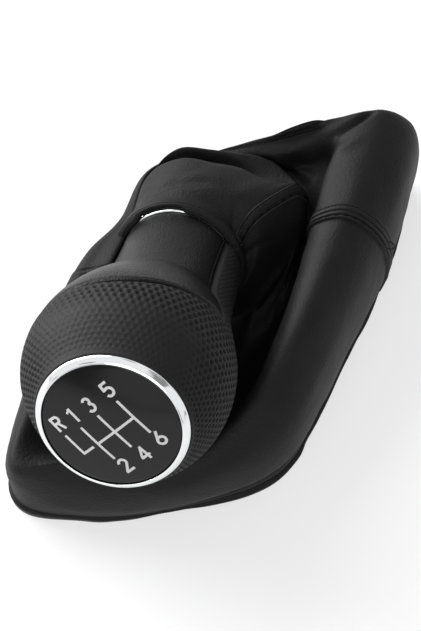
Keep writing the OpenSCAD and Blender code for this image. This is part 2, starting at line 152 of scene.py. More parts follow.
def pattern(tree, kind, place, **values):
    """Procedural texture laid out over the coordinates that place gives."""
    n = node(tree, kind, **values)
    tree.links.new(place, n.inputs["Vector"])
    return n


def add_bump(tree, bsdf, height, strength, depth_mm, invert=False):
    bump = node(tree, "ShaderNodeBump", Strength=strength, Distance=depth_mm * MM, invert=invert)
    tree.links.new(height, bump.inputs["Height"])
    tree.links.new(bump.outputs["Normal"], bsdf.inputs["Normal"])


def vary_roughness(tree, bsdf, factor, low, high):
    rough = node(tree, "ShaderNodeMapRange", To_Min=low, To_Max=high)
    tree.links.new(factor, rough.inputs["Value"])
    tree.links.new(rough.outputs[0], bsdf.inputs["Roughness"])


def object_place(tree):
    return node(tree, "ShaderNodeTexCoord").outputs["Object"]


def colour_noise(tree, bsdf, base, spread, scale):
    """Base colour that drifts a little over the surface. Returns the place and the drift."""
    place = object_place(tree)
    drift = pattern(tree, "ShaderNodeTexNoise", place, Scale=scale, Detail=3).outputs["Fac"]
    ramp = node(tree, "ShaderNodeValToRGB")
    for stop, at, share in zip(ramp.color_ramp.elements, (0.3, 0.7), (1 - spread, 1 + spread)):
        stop.position = at
        stop.color = (*[c * share for c in base], 1)
    tree.links.new(drift, ramp.inputs["Fac"])
    tree.links.new(ramp.outputs["Color"], bsdf.inputs["Base Color"])
    return place, drift


def leather(name, base, roughness, specular, grain_mm, depth_mm):
    """Leather with a pebbled grain, finer creases between the pebbles and a drifting sheen."""
    tree, bsdf = new_material(name)
    bsdf.inputs["Specular IOR Level"].default_value = specular
    place, drift = colour_noise(tree, bsdf, base, 0.2, 90)
    # The pebbles are shifted by up to WARP_M each way, so that they don't stand in rows
    warp = pattern(tree, "ShaderNodeTexNoise", place, Scale=420.0, Detail=2.0)
    mixed = node(tree, "ShaderNodeVectorMath", operation="MULTIPLY_ADD")
    tree.links.new(warp.outputs["Color"], mixed.inputs[0])
    mixed.inputs[1].default_value = (WARP_M, WARP_M, WARP_M)
    tree.links.new(place, mixed.inputs[2])
    pebble = pattern(
        tree, "ShaderNodeTexVoronoi", mixed.outputs[0],
        feature="SMOOTH_F1", Scale=1000.0 / grain_mm, Smoothness=0.6)
    fine = pattern(tree, "ShaderNodeTexNoise", place, Scale=3200.0, Detail=3.0)
    height = math_node(tree, "MULTIPLY_ADD", fine.outputs["Fac"], 0.3, pebble.outputs["Distance"])
    add_bump(tree, bsdf, height, 0.8, depth_mm, True)
    vary_roughness(tree, bsdf, drift, roughness - 0.05, roughness + 0.07)


def moulded(name, base, roughness, specular):
    """Moulded plastic with a spark-eroded grain."""
    tree, bsdf = new_material(name)
    bsdf.inputs["Roughness"].default_value = roughness
    bsdf.inputs["Specular IOR Level"].default_value = specular
    place, _ = colour_noise(tree, bsdf, base, 0.15, 160)
    grain = pattern(tree, "ShaderNodeTexNoise", place, Scale=2600.0, Detail=4.0)
    add_bump(tree, bsdf, grain.outputs["Fac"], 0.5, 0.02)


def polished(name, base, roughness, scratch_mm=0.002):
    """Plated metal with faint polishing marks."""
    tree, bsdf = new_material(name)
    bsdf.inputs["Metallic"].default_value = 1
    bsdf.inputs["Base Color"].default_value = (*base, 1)
    marks = pattern(tree, "ShaderNodeTexNoise", object_place(tree), Scale=700.0, Detail=5.0)
    vary_roughness(tree, bsdf, marks.outputs["Fac"], roughness * 0.7, roughness * 1.4)
    add_bump(tree, bsdf, marks.outputs["Fac"], 0.1, scratch_mm)


def gloss(name, base):
    """Gloss plastic with a trace of orange peel."""
    tree, bsdf = new_material(name)
    bsdf.inputs["Roughness"].default_value = 0.1
    bsdf.inputs["Specular IOR Level"].default_value = 0.3
    bsdf.inputs["Coat Weight"].default_value = 0
    bsdf.inputs["Coat Roughness"].default_value = 0.03
    place, _ = colour_noise(tree, bsdf, base, 0.1, 60)
    peel = pattern(tree, "ShaderNodeTexNoise", place, Scale=260.0, Detail=1.0)
    add_bump(tree, bsdf, peel.outputs["Fac"], 0.15, 0.004)


def thread(name, base):
    """Twisted sewing thread."""
    tree, bsdf = new_material(name)
    bsdf.inputs["Roughness"].default_value = 0.7
    bsdf.inputs["Specular IOR Level"].default_value = 0.3
    place, _ = colour_noise(tree, bsdf, base, 0.4, 900)
    twist = pattern(tree, "ShaderNodeTexWave", place, Scale=900.0, Distortion=1.0)
    add_bump(tree, bsdf, twist.outputs["Fac"], 0.6, 0.04)


# One material for each of the record's slots that a piece here uses
polished("chrome", (0.8, 0.81, 0.82), 0.05)
polished("clamp_steel", (0.6, 0.6, 0.6), 0.3, 0.01)
polished("sleeve_grey", (0.52, 0.52, 0.54), 0.35, 0.01)
gloss("gloss_black", (0.004, 0.004, 0.0045))
gloss("white_print", (0.52, 0.52, 0.52))
moulded("black_plastic", (0.012, 0.012, 0.013), 0.45, 0.4)
moulded("bead_black", (0.008, 0.008, 0.009), 0.55, 0.3)
leather("grip_black", (0.009, 0.009, 0.0095), 0.54, 0.15, 0.5, 0.08)
leather("panel_black", (0.0055, 0.0055, 0.006), 0.33, 0.12, 0.5, 0.16)
leather("gaiter_black", (0.0075, 0.0075, 0.0082), 0.55, 0.13, 0.6, 0.1)
thread("thread_black", (0.009, 0.009, 0.01))


# Mesh helpers

def add_piece(name, points_mm, faces, slot, replaces=()):
    """Smooth object from points in millimetres that rides on the knob."""
    mesh = bpy.data.meshes.new(name)
    mesh.from_pydata((np.asarray(points_mm) * MM).tolist(), [], faces)
    mesh.validate()
    mesh.materials.append(FINISH[slot])
    o = bpy.data.objects.new(name, mesh)
    bpy.context.collection.objects.link(o)
    mesh.polygons.foreach_set("use_smooth", [True] * len(mesh.polygons))
    bm = bmesh.new()
    bm.from_mesh(mesh)
    bmesh.ops.recalc_face_normals(bm, faces=bm.faces)
    bm.to_mesh(mesh)
    bm.free()
    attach(o, ROOT)
    if replaces:
        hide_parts(*replaces)
    return o


def spline(a, b, c, d, t):
    """Catmull-Rom curve from b to c, as t goes from 0 to 1."""
    square, cube = 2 * a - 5 * b + 4 * c - d, 3 * b - a - 3 * c + d
    return 0.5 * (2 * b + (c - a) * t + square * t * t + cube * t ** 3)


def smooth_line(points, steps):
    """Smooth curve through points, steps pieces between each pair."""
    p = np.asarray(points, float)
    out = []
    for i in range(len(p) - 1):
        a, b, c, d = p[max(i - 1, 0)], p[i], p[i + 1], p[min(i + 2, len(p) - 1)]
        out += [spline(a, b, c, d, j / steps) for j in range(steps)]
    return np.array(out + [p[-1]])


def smoothstep(x, low, high):
    t = np.clip((x - low) / (high - low), 0, 1)
    return t * t * (3 - 2 * t)


# The knob's own frame

AXIS = np.array([0, -math.cos(KNOB_TILT), math.sin(KNOB_TILT)])
UP = np.array([0, math.sin(KNOB_TILT), math.cos(KNOB_TILT)])
SIDE = np.array([1.0, 0, 0])
RIGHT = SIDE * math.cos(PATTERN_TURN) + UP * math.sin(PATTERN_TURN)
FRONT = -SIDE * math.sin(PATTERN_TURN) + UP * math.cos(PATTERN_TURN)
PATTERN_OFFSET = math.radians(90) - PATTERN_TURN
MOST_LEAN = 0.85


def lean(s):
    """How far the head's middle stands towards the front at height s."""
    return MOST_LEAN * smoothstep(s, 26, 46) * (1 - smoothstep(s, 54, 67))


def on_knob(r, phi, s):
    """Point of the knob from its radius, its angle and its height on the axis."""
    r, phi, s = np.broadcast_arrays(np.asarray(r, float), np.asarray(phi, float), np.asarray(s, float))
    x = r * np.cos(phi)
    y = r * np.sin(phi) + lean(s)
    return NECK + x[..., None] * RIGHT + y[..., None] * FRONT + s[..., None] * AXIS


def grid_faces(rows, cols, closed=False):
    """Quads over a grid of points, joined round its columns when it is closed."""
    wrap = cols if closed else cols - 1
    return [
        (i * cols + j, i * cols + (j + 1) % cols, (i + 1) * cols + (j + 1) % cols, (i + 1) * cols + j)
        for i in range(rows - 1) for j in range(wrap)]


def turned(name, line, slot, replaces=(), around=192):
    """Turned piece from an outline of (radius, height)."""
    line = np.asarray(line, float)
    phi = np.radians(np.linspace(0, 360, around, endpoint=False))
    points = on_knob(line[:, 0][:, None], phi[None, :], line[:, 1][:, None])
    return add_piece(name, points.reshape(-1, 3), grid_faces(len(line), around, True), slot, replaces)


def rounded(points, radius, arcs=5):
    """Closed outline with each corner turned into an arc of about that radius."""
    p = np.asarray(points, float)
    out = []
    for i, corner in enumerate(p):
        before, after = p[i - 1] - corner, p[(i + 1) % len(p)] - corner
        cut_a = min(radius, 0.45 * np.linalg.norm(before))
        cut_b = min(radius, 0.45 * np.linalg.norm(after))
        a = corner + before / np.linalg.norm(before) * cut_a
        b = corner + after / np.linalg.norm(after) * cut_b
        for t in np.linspace(0, 1, arcs):
            out.append((1 - t) ** 2 * a + 2 * t * (1 - t) * corner + t * t * b)
    return np.array(out + [out[0]])


# Cap with its chrome ring and gloss disc

def cap():
    chamfer = [
        (RING_IN, CAP_S - 1.2), (CAP_R - 0.3, CAP_S - 1.2), (CAP_R, CAP_S - 0.5),
        (CAP_R - 0.02, CAP_S + 0.02), (CAP_R - 1.0, CAP_S + 1.0), (CAP_R - 1.45, CAP_S + 1.2),
        (RING_IN, CAP_S + 1.16)]
    turned("cap_ring", rounded(chamfer, 0.28), "chrome", ["cap_bezel"], 240)
    dome = [(DISC_R * t, DISC_S + DISC_DOME * (1 - t * t)) for t in np.linspace(0.004, 0.985, 24)]
    edge = [(DISC_R - 0.05, DISC_S - 0.02), (DISC_R, DISC_S - 0.2), (DISC_R, CAP_S - 1.75)]
    turned("pattern_face", dome + edge, "gloss_black", ["pattern_disc"], 240)


# Dimpled skin

# Dimples in one turn, points across a dimple and along a row, and the height of a row in pitches
DIMPLES_ROUND = 84
PER_DIMPLE = 6
PER_ROW = 5
HEX_ROW = 0.866
# Depth of a dimple where the pitch is DIMPLE_PITCH: it grows and shrinks with the pitch
DIMPLE_DEPTH = 0.6
DIMPLE_PITCH = 1.85
# Near the cap the dimples are worn, most of all at this angle, which is at the front
WORN_MIDDLE = 49
WORN_SHARE = 0.8
# Gap at each side of the panel, and the angle over which the spine's sides come down to it
EDGE_GAP_DEG = 0.5
SPINE_CHEEK_DEG = 27
# How far the open edges of the skins turn in
SKIRT = 1.0
HEAD_LINE = [
    (17.98, 68.0), (18.25, 67.8), (18.7, 66.8), (19.8, 65), (21.3, 62.6), (22.7, 60), (23.85, 57.2),
    (24.6, 54), (24.9, 50.5), (24.75, 47), (24.2, 43.2), (23.3, 40.3), (21.8, 35.6), (19.9, 30)]
SPINE_LINE = [(18.2, 23.5), (17.3, 17.5), (16.75, 11), (16.3, 4.5), (16.1, 0.6), (15.6, -1.6)]
PANEL_EDGE = [(-60, 22.0), (-8, 38.3), (10, 45.0), (14.5, 46.7), (17.5, 47.7), (21, 48.2), (60, 48.3)]


def edge_height(y):
    """Height of the panel's edge, which rises towards the front, at y along FRONT."""
    line = smooth_line(PANEL_EDGE[1:-1], 8)
    line = np.concatenate([[PANEL_EDGE[0]], line, [PANEL_EDGE[-1]]])
    return np.interp(y, line[:, 0], line[:, 1])


def edge_at(phi, radius_of, gap=0.0):
    """Height at which the panel's edge crosses the angle phi, on the outline radius_of."""
    # From a height near the middle of the edge, half steps settle on the crossing
    s = np.full(np.shape(phi), 44.0)
    for _ in range(30):
        s = 0.5 * s + 0.5 * (edge_height(radius_of(s) * np.sin(phi)) + gap)
    return s


def skin_rows(line):
    """Rows of points down the skin's outline: their numbers, counted in dimples, their heights
    and the distance run to each. Last comes the distance run to each point of the outline."""
    step = np.linalg.norm(np.diff(line, axis=0), axis=1)
    run = np.concatenate([[0], np.cumsum(step)])
    pitch = 2 * math.pi * line[:, 0] / DIMPLES_ROUND
    # The dimples keep the spacing of a hexagonal grid, as the head swells and narrows
    row = np.concatenate([[0], np.cumsum(step / (HEX_ROW * 0.5 * (pitch[1:] + pitch[:-1])))])
    rows_at = np.append(np.arange(0, row[-1], 1 / PER_ROW), row[-1])
    return rows_at, np.interp(rows_at, row, line[:, 1]), np.interp(rows_at, row, run), run


def skin_columns():
    """Angles of the skin's columns, which of them make the tongue, and the tongue's first."""
    cols = DIMPLES_ROUND * PER_DIMPLE
    front_cols = round(PANEL_ANGLE / 360 * cols)
    rear_cols = cols - front_cols
    # The columns are shifted a little, so that one column lies on each side of the panel
    front_span = np.radians(PANEL_ANGLE + 2 * EDGE_GAP_DEG)
    rear_span = np.radians(360 - PANEL_ANGLE - 2 * EDGE_GAP_DEG)
    phi = np.radians(PANEL_FROM - EDGE_GAP_DEG) + np.concatenate([
        front_span * np.arange(front_cols) / front_cols,
        front_span + rear_span * np.arange(rear_cols) / rear_cols])
    rear = np.arange(cols) >= front_cols
    rear[0] = True
    return phi, rear, front_cols


def dimple_pits(rows_at, cols):
    """1 in the middle of each dimple and 0 on the web between the dimples."""
    across = np.arange(cols) / PER_DIMPLE
    # Distance to the nearest dimple's middle, counted in pitches
    nearest = np.round(rows_at)
    shift = np.where(nearest % 2 == 0, 0.0, 0.5)
    du = (across[None, :] - shift[:, None] + 0.5) % 1 - 0.5
    dv = (rows_at - nearest)[:, None] * HEX_ROW
    return 1 - smoothstep(np.hypot(du, dv), 0.22, 0.37)


def grip():
    """Skin of the head, with the driver's side of the neck as one tongue of it."""
    line = smooth_line(HEAD_LINE + SPINE_LINE, 24)
    rows_at, s, arc, run = skin_rows(line)
    phi, rear, front_cols = skin_columns()
    tangent = np.gradient(line, axis=0)
    normal = np.stack([-tangent[:, 1], tangent[:, 0]], 1)
    normal /= np.linalg.norm(normal, axis=1)[:, None]

    def at_height(values):
        return lambda height: np.interp(height, line[::-1, 1], values[::-1])

    outline, arc_at = at_height(line[:, 0]), at_height(run)
    lowest = np.where(rear, s[-1], edge_at(phi, outline, JOINT_W))
    inside = s[:, None] >= lowest[None, :] - 1e-6
    height = np.maximum(s[:, None], lowest[None, :])
    radius = outline(height)
    nr, ns = at_height(normal[:, 0])(height), at_height(normal[:, 1])(height)
    # Distance from the nearest edge of the skin, measured over the surface
    turn = np.minimum(phi - phi[front_cols], 2 * math.pi - (phi - phi[0]))
    side_edge = edge_at(phi[front_cols], outline, JOINT_W)
    to_side = np.hypot(np.maximum(turn[None, :] * radius, 0), np.maximum(height - side_edge, 0))
    to_front = arc_at(lowest)[None, :] - arc_at(height)
    near_edge = np.where(rear[None, :], to_side, to_front)
    # The dimples fade out at the edges of the skin, and grow with the local pitch
    fade = smoothstep(arc, 0.7, 2.0)[:, None] * smoothstep(near_edge, 0.5, 1.2)
    fade = fade * smoothstep(arc[-1] - arc, 0.6, 1.6)[:, None]
    local = 2 * math.pi * radius / DIMPLES_ROUND
    from_front = np.abs((np.degrees(phi) - WORN_MIDDLE + 180) % 360 - 180)
    worn = 1 - WORN_SHARE * smoothstep(height, 51, 58) * (1 - smoothstep(from_front, 46, 70))[None, :]
    pits = dimple_pits(rows_at, len(phi))
    sink = DIMPLE_DEPTH * (local / DIMPLE_PITCH) * pits * fade * worn
    # The spine's sides come down to the panel, and its edge rolls into the joint
    cheek = 1 - np.clip(turn / math.radians(SPINE_CHEEK_DEG), 0, 1)
    cheek = np.where(rear, 1 - np.sqrt(np.clip(1 - cheek ** 2, 0, 1)), 0)
    side = smooth_line(PANEL_LINE, 10)
    narrow = radius - np.interp(height, side[:, 1], side[:, 0]) - 0.1
    drop = cheek[None, :] * np.maximum(narrow, 0) * (1 - smoothstep(height, 34, 42))
    roll = 0.5 * (1 - smoothstep(near_edge, 0.0, 0.7))
    sink = sink + roll
    points = on_knob(radius - nr * sink - drop, phi[None, :], height - ns * sink)
    cols = len(phi)
    faces = []
    for i in range(len(rows_at) - 1):
        for j in range(cols):
            k = (j + 1) % cols
            same_side = rear[j] == rear[k]
            if inside[i, j] and inside[i, k] or same_side and (inside[i, j] or inside[i, k]):
                faces.append((i * cols + j, i * cols + k, (i + 1) * cols + k, (i + 1) * cols + j))
    add_piece("grip_dimpled", *with_skirt(points, faces, height), "grip_black", ["grip_skin"])


def with_skirt(points, faces, height):
    """Turns a sheet's open edges towards the knob's axis, so that it reads as a thick skin."""
    points = points.reshape(-1, 3)
    inward = on_knob(0, 0, height.reshape(-1)) - points
    inward /= np.linalg.norm(inward, axis=1)[:, None]
    edges = {}
    for f in faces:
        for a, b in zip(f, f[1:] + f[:1]):
            key = (min(a, b), max(a, b))
            edges[key] = None if key in edges else (a, b)
    rim = [e for e in edges.values() if e]
    used = sorted({v for e in rim for v in e})
    new_id = {v: len(points) + i for i, v in enumerate(used)}
    extra = points[used] + inward[used] * SKIRT
    faces = faces + [(b, a, new_id[a], new_id[b]) for a, b in rim]
    points = np.concatenate([points, extra])
    keep = np.zeros(len(points), bool)
    for f in faces:
        keep[list(f)] = True
    index = np.cumsum(keep) - 1
    return points[keep], [tuple(int(index[v]) for v in f) for f in faces]


# Smooth panel and the chrome neck ring

PANEL_CREASE_S = 24
PANEL_TOP_S = 48.2
PANEL_LINE = [
    (14.1, -1.8), (14.12, 2), (14.15, 6), (14.25, 10), (14.45, 14.5), (14.8, 19), (15.1, 21.4), (15.5, 22.6),
    (16.3, 24.2), (17.6, 26.4), (19.2, 29.3), (20.8, 32.6), (22.2, 36.4), (23.2, 39.8), (24.0, 43.2),
    (24.55, 47), (24.65, 50.5)]


def panel():
    full = smooth_line(PANEL_LINE, 14)
    phi = np.radians(PANEL_FROM + np.linspace(0, PANEL_ANGLE, 421))
    top = edge_at(phi, lambda height: np.interp(height, full[:, 1], full[:, 0]))
    # Rows keep their place up to the crease and are drawn out to the edge above it
    line = full[np.concatenate([[True], full[1:, 1] <= PANEL_TOP_S])]
    low = np.minimum(line[:, 1], PANEL_CREASE_S)[:, None]
    share = np.clip((line[:, 1] - PANEL_CREASE_S) / (PANEL_TOP_S - PANEL_CREASE_S), 0, 1)[:, None]
    height = low + share * (top[None, :] - PANEL_CREASE_S)
    height[-1] = top
    radius = np.interp(height, full[:, 1], full[:, 0])
    side_mm = np.minimum(phi - phi[0], phi[-1] - phi)[None, :] * radius
    edge_mm = np.minimum(side_mm, (top[None, :] - height) * 1.1)
    end_mm = height - height[0, 0]
    drop = 0.5 * (1 - smoothstep(edge_mm, 0, 0.9)) + 0.08 * (1 - smoothstep(end_mm, 0, 0.4))
    # A shallow pressed channel runs just inside the edge
    channel = 0.2 * np.exp(-((edge_mm - 1.15) / 0.25) ** 2)
    points = on_knob(radius - drop - channel, phi[None, :], height)
    skin = with_skirt(points, grid_faces(*points.shape[:2]), height)
    add_piece("panel_smooth", *skin, "panel_black", ["neck_panel"])


def neck_ring():
    s = RING_S
    turned("neck_ring", rounded([
        (NECK_R - 1.7, s - 2.18), (RING_R - 0.2, s - 2.18), (RING_R, s - 1.6), (RING_R - 0.02, s - 0.8),
        (NECK_R + 0.4, s - 0.08), (NECK_R - 1.7, s - 0.04)], 0.3), "chrome", ["neck_trim_ring"])


def collar_lip():
    """Rolled leather edge. It leans over the chrome ring, except in the arcs that stay bare."""
    turn = np.linspace(-180, 180, 240, endpoint=False)
    # 1 where the edge covers the ring, from about -144 to -46 and from -1 to 73 degrees
    over = 1 - smoothstep(turn, -52, -40) + smoothstep(turn, -8, 6)
    over = over * (1 - smoothstep(turn, 66, 80)) * smoothstep(turn, -150, -138)
    bare = rounded([
        (RING_R + 0.08, GAITER_S + 0.32), (RING_R + 1.5, GAITER_S + 0.32), (RING_R + 1.46, GAITER_S + 0.7),
        (RING_R + 1.0, GAITER_S + 0.9), (RING_R + 0.4, GAITER_S + 0.9), (RING_R + 0.08, GAITER_S + 0.6)], 0.2)
    covered = rounded([
        (NECK_R + 0.08, RING_S + 0.04), (RING_R + 1.5, GAITER_S + 0.32), (RING_R + 1.5, GAITER_S + 0.8),
        (RING_R + 0.7, GAITER_S + 1.45), (NECK_R + 0.5, RING_S + 0.6), (NECK_R + 0.08, RING_S + 0.36)], 0.22)
    outline = bare[:, None] * (1 - over)[None, :, None] + covered[:, None] * over[None, :, None]
    phi = PATTERN_OFFSET - np.radians(turn)
    points = on_knob(outline[..., 0], phi[None, :], outline[..., 1])
    faces = grid_faces(*points.shape[:2], True)
    add_piece("collar_lip", points.reshape(-1, 3), faces, "gaiter_black", ["gaiter_rim"])


# Gaiter

RIM_TURN = [180, 158, 138, 120, 101, 80, 58, 42, 26, 9, -10, -32, -56, -84, -115, -150]


def ring_row(r, s):
    t = np.radians(RIM_TURN)
    return (s * AXIS + r * np.cos(t)[:, None] * UP + r * np.sin(t)[:, None] * SIDE + [0, 0, NECK[2]]).tolist()


# Rows of the outer face from the neck to the hem, with 16 stations each, from the near
# side to the right, the back and the left. x and y count from the neck ring's middle, and z
# from the floor. Some stations of rows 6 to 11 follow the photo more closely than the CAD's do.
STATIONS = 16
ROWS = [
    ring_row(RING_R + 1.57, GAITER_S),
    ring_row(RING_R + 1.37, GAITER_S - 2.6),
    # tube behind the collar
    [[0, -2.5, 7.2], [5, -3, 7.6], [11, -1, 10.5], [15, 1, 15.5], [18.2, 4.5, 21], [19, 9.5, 28],
    [17, 14, 34], [12.4, 15.8, 36.4], [8.5, 16.5, 37.2], [3, 17, 37.6], [-3, 17, 36.8], [-8.5, 16, 34],
    [-12.8, 13.3, 29], [-15, 9, 22.5], [-14.4, 5, 14.5], [-8, 0, 8.5]],
    # front fold of the tube
    [[0, -1.5, 4.4], [6, -3, 4.3], [14, 0, 5.5], [20, 4, 9], [23.6, 9.5, 16], [25.4, 16, 25.5],
    [23.7, 22.3, 34], [20.4, 23.1, 35], [15.1, 23.5, 35], [9.7, 24.9, 35.2], [3.2, 24.7, 35.5],
    [-5, 25, 34.2], [-12.4, 21.8, 29], [-14.1, 14.6, 22], [-13.8, 8, 11.5], [-8, 0, 5]],
    # groove behind the front fold
    [[0, -5, 3.2], [7, -7, 3.2], [16, -3, 4], [22, 2, 7.5], [25.6, 8, 14], [27.2, 17, 23.5],
    [26.2, 23.6, 31.5], [21.8, 26.2, 30.6], [15.3, 26.5, 30], [9, 27.6, 29.8], [2, 27.7, 29.8],
    [-5.5, 27.4, 29.2], [-11.5, 24.8, 25], [-12.6, 18, 18.5], [-14, 9, 9.5], [-9, -3, 3.4]],
    # back layer of the fold
    [[0, -10, 2.8], [8, -12, 2.8], [17, -8, 3.4], [23.5, -2, 5.5], [26.2, 6, 11], [27.8, 16, 19.5],
    [27.3, 24.2, 27], [20, 31, 29], [13.8, 32.1, 31], [8.4, 31.1, 32.2], [1.1, 30.5, 32.6], [-6.3, 30, 31.4],
    [-11.5, 26.4, 25.8], [-12.6, 19.5, 17], [-15, 8, 8], [-10, -9, 2.8]],
    # floor of the valley
    [[-1, -24, 3.2], [9, -24, 3.4], [19, -15, 5], [24.6, -6, 7.5], [27, 5, 11], [28, 13, 15],
    [28.5, 19.6, 19.4], [25.5, 29, 22], [19, 34.4, 23], [11, 33.8, 22.5], [3, 32.8, 21], [-6, 31, 19],
    [-11.4, 26.6, 15], [-12.1, 18, 12.4], [-15.2, 4, 9], [-14, -26, 8]],
    # inner wall of the roll
    [[-6, -46, 14], [12, -42, 14.5], [23, -27, 15], [26.8, -14, 18], [29, -1, 20], [29.4, 8, 22],
    [30.3, 15.6, 24.5], [30, 29, 27], [29.4, 37, 27.5], [19.3, 34.8, 29.4], [9.2, 33.2, 27.2],
    [-2.8, 31.6, 23.1], [-12, 27.6, 17], [-13.2, 15, 17], [-15.6, -3.5, 21], [-18, -42, 19]],
    # inner edge of the crest
    [[-9, -54.5, 22.0], [11, -50.5, 20.5], [25.2, -33, 28.5], [29, -17, 33], [30.5, -3, 34], [31, 6, 34.5],
    [31.3, 14.8, 35], [31.8, 29, 36], [32.3, 39.4, 36.5], [25, 40.2, 34], [14, 36.4, 30.6], [0, 33.4, 25],
    [-12.6, 28, 20], [-13.2, 11.2, 24.3], [-14.9, -7.5, 30.2], [-21.5, -50.5, 23.8]],
    # crest
    [[-10, -57.3, 24.8], [11.5, -53.4, 23.4], [28.6, -36, 31], [34.5, -18, 36.5], [36.5, -4, 38],
    [37.8, 6, 38.5], [39.2, 16, 39], [40.6, 34, 39], [41.1, 47.3, 38], [30.8, 44.5, 36.3], [20.2, 39.6, 34.4],
    [2, 34.8, 25.5], [-13.3, 28.9, 21.6], [-15.4, 9.8, 25.4], [-19.8, -9, 29.2], [-25.8, -58.2, 24.8]],
    # outer shoulder
    [[-10.5, -61, 20], [13, -56.6, 19.5], [34, -40, 24], [41, -19, 28], [43.8, -5, 30], [45.8, 6, 31],
    [47.6, 16, 31.3], [49.8, 36, 32], [48, 51.2, 30.6], [33, 46.8, 28], [20, 41.6, 25], [2, 35.6, 19.5],
    [-14.2, 30.6, 17.5], [-17.6, 11.2, 22], [-24.4, -10.6, 26.2], [-28, -58.6, 19]],
    # bulge of the outer wall
    [[-10, -62.5, 9.5], [14, -55.8, 9.5], [35.5, -40.5, 11], [42.2, -19, 13], [45.2, -5, 14],
    [47.8, 6, 14.5], [50, 18, 15], [51.4, 37, 16], [49.9, 54, 16], [34, 50.4, 15], [20, 44.6, 14],
    [2, 37.4, 12], [-13.4, 32, 10], [-16.6, 12.8, 10], [-27.9, -13.5, 11], [-28.6, -57.2, 9]],
    # hem
    [[-9, -60.2, 0], [13, -51.9, 0], [33.2, -39.2, 0], [40.2, -19.4, 0], [42.8, -5, 0], [45.4, 6, 0],
    [47.4, 18, 0], [49.2, 37, 0], [47.2, 53, 0], [33, 49.8, 0], [20, 44.2, 0], [3, 37, 0],
    [-11, 31.8, 0], [-15.2, 14, 0], [-26.4, -14, 0], [-27.8, -56.8, 0]]]
NET = np.array(ROWS, float) + [NECK[0], NECK[1], 0]
LAST = len(ROWS) - 1
# Stations of the seams, the row at which they end, and the rows that the turned hem covers
RIGHT_SEAM = 6
LEFT_SEAM = 14
SEAM_END = 11.6
HEM_ROWS = (11.58, 11.98)


def face_at(u, v):
    """Points of the gaiter's outer face at stations u and rows v."""
    u, v = np.broadcast_arrays(np.asarray(u, float), np.asarray(v, float))
    i = np.clip(np.floor(v).astype(int), 0, LAST - 1)
    k = np.floor(u).astype(int)
    tu = (u - k)[..., None]
    tv = (v - i)[..., None]

    def row(n):
        return spline(*[NET[np.clip(n, 0, LAST), (k + m) % STATIONS] for m in (-1, 0, 1, 2)], tu)

    return spline(row(i - 1), row(i), row(i + 1), row(i + 2), tv)


def out_at(u, v, step=0.06):
    """Directions straight out of the gaiter's face."""
    du = face_at(u + step, v) - face_at(u - step, v)
    dv = face_at(u, np.minimum(v + step, LAST)) - face_at(u, np.maximum(v - step, 0))
    n = np.cross(dv, du)
    return n / np.maximum(np.linalg.norm(n, axis=-1, keepdims=True), 1e-9)


def soft_waves(points):
    """Slight unevenness of soft leather, in millimetres."""
    flat = points.reshape(-1, 3)
    waves = [
        0.22 * noise.noise(Vector(p * 0.075)) + 0.12 * noise.noise(Vector(p * 0.21 + 7))
        for p in flat]
    return np.array(waves).reshape(points.shape[:-1])


# Folds (height above 0) and creases of the leather: height, width, line of (station, row)
FOLDS = [
    (0.55, 1.5, [(12.4, 2.5), (11.1, 2.2), (10.3, 2.3), (9.4, 2.3), (8.6, 2.4)]),
    (-0.5, 1.2, [(11.8, 1.4), (11.2, 1.6), (10.5, 1.75), (9.45, 1.95), (8.6, 2.05)]),
    (-0.8, 1.0, [(6.9, 3.7), (8, 3.75), (9.5, 3.7), (10.2, 3.8), (11, 3.6), (11.8, 3.9)]),
    (-1.7, 0.9, [(8.2, 7.6), (8.15, 8.0), (8.1, 8.4), (8.15, 8.75), (8.25, 9.1)]),
    (0.6, 1.6, [(7.5, 7.9), (7.4, 8.3), (7.45, 8.7)]),
    (1.3, 1.7, [(4.6, 3.6), (3.9, 3.0), (3.1, 2.9), (2.5, 3.8), (2.2, 5.2)]),
    (-0.9, 1.5, [(4.9, 4.6), (4.1, 4.2), (3.4, 4.3), (2.9, 5.2)]),
    (1.3, 1.6, [(9.3, 6.95), (8.6, 6.55), (7.85, 6.4), (7.35, 6.65)]),
    (-0.9, 1.2, [(9.3, 6.3), (8.6, 5.95), (7.9, 5.85)]),
    (-0.35, 1.1, [(5.3, 0.3), (5.0, 1.4), (4.9, 2.6)]),
    (-0.3, 0.9, [(6.5, 0.2), (6.7, 1.0), (7.0, 1.9)]),
    (-1.4, 1.3, [(0.5, 11.35), (1.0, 11.3), (1.6, 11.25), (2.2, 11.25), (2.6, 11.35)])]


def relief(u, v, p):
    """Height of the folds at points p of the face, in millimetres."""
    total = np.zeros(p.shape[:-1])
    half = STATIONS / 2
    for height, width, line in FOLDS:
        path = smooth_line(line, 10)
        station, row = path.T
        on_face = face_at(station, row)
        # The fold fades out over a third of its length at either end
        from_end = np.minimum(np.arange(len(path)), np.arange(len(path))[::-1])
        end = smoothstep(from_end, -1, len(path) * 0.35)
        off = np.abs((u - station.mean() + half) % STATIONS - half)
        near = (off < np.ptp(station) / 2 + 1) & (v > row.min() - 1) & (v < row.max() + 1)
        if not near.any():
            continue
        away = np.linalg.norm(p[near][:, None, :] - on_face[None], axis=-1)
        k = away.argmin(axis=1)
        gap = away[np.arange(len(k)), k]
        total[near] += height * end[k] * np.exp(-(gap / width) ** 2)
    return total


def skin_at(u, v, h=0.0):
    """The gaiter's face as it is shown, with its folds and soft waves, raised by h."""
    u, v = np.broadcast_arrays(np.asarray(u, float), np.asarray(v, float))
    p = face_at(u, v)
    calm = smoothstep(v, 0.8, 2.5)
    p = p + out_at(u, v) * (h + soft_waves(p) * calm + relief(u, v, p))[..., None]
    p[..., 2] = np.maximum(p[..., 2], 0)
    return p


